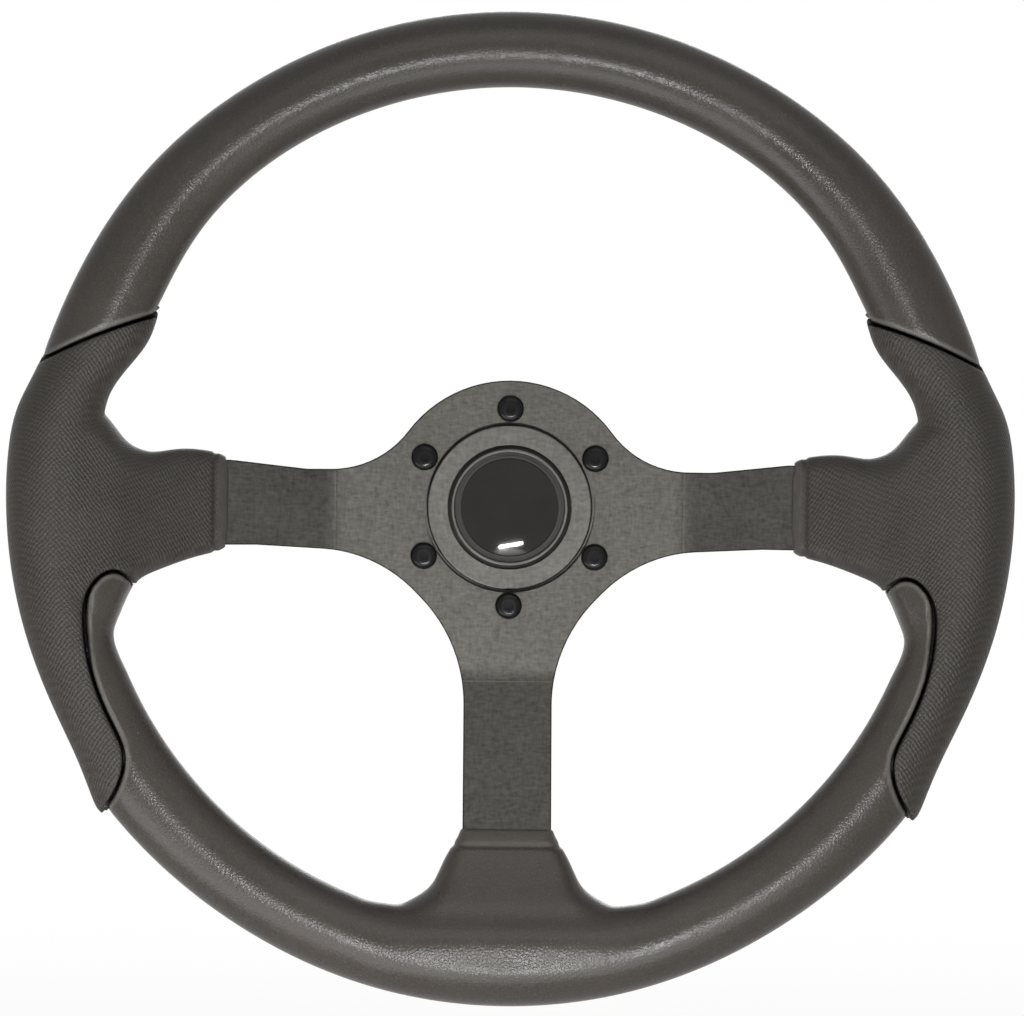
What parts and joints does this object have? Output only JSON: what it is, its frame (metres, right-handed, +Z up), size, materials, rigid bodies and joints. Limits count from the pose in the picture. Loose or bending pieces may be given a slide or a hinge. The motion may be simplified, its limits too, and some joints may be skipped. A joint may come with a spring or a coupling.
{
  "type": "boat steering wheel",
  "caption": "Dished spoked boat steering wheel with a moulded sectioned grip, thumb rests and a capped hub for a tapered helm shaft.",
  "frame": {"origin": "centre of the hub's back face, where the tapered shaft bore opens", "axes": "+Y along the shaft, away from the helmsman; the wheel's face looks towards -Y; +Z up; +X to the helmsman's right"},
  "size_m": [0.3548, 0.0945, 0.35],
  "materials": {
    "anodised_plate": "dark grey anodised, fine brushed",
    "core_steel": "bare steel rod, covered by the grip",
    "hub_alloy": "cast and turned, dark grey",
    "screw_black": "black oxide, satin",
    "ring_grey": "dark grey, satin",
    "cap_plastic": "moulded black plastic",
    "trim_bright": "bright",
    "badge_gloss": "glossy black, bare",
    "seal_rubber": "black sealing ring",
    "grip_smooth": "dark grey foamed moulding, fine leather grain",
    "grip_weave": "dark grey foamed moulding, fine woven texture"
  },
  "bodies": {
    "root": {"spoke_frame": "anodised_plate", "rim_ring": "core_steel", "spoke_rivets": "core_steel", "ring_lug_right": "core_steel", "ring_lug_left": "core_steel", "ring_lug_bottom": "core_steel", "hub_boss": "hub_alloy", "hub_screws": "screw_black", "cap_ring": "ring_grey", "centre_cap": "cap_plastic", "cap_trim_ring": "trim_bright", "cap_badge": "badge_gloss", "cap_seal": "seal_rubber", "upper_grip": "grip_smooth", "lower_grip": "grip_smooth", "left_grip": "grip_weave", "right_grip": "grip_weave"}
  },
  "joints": []
}
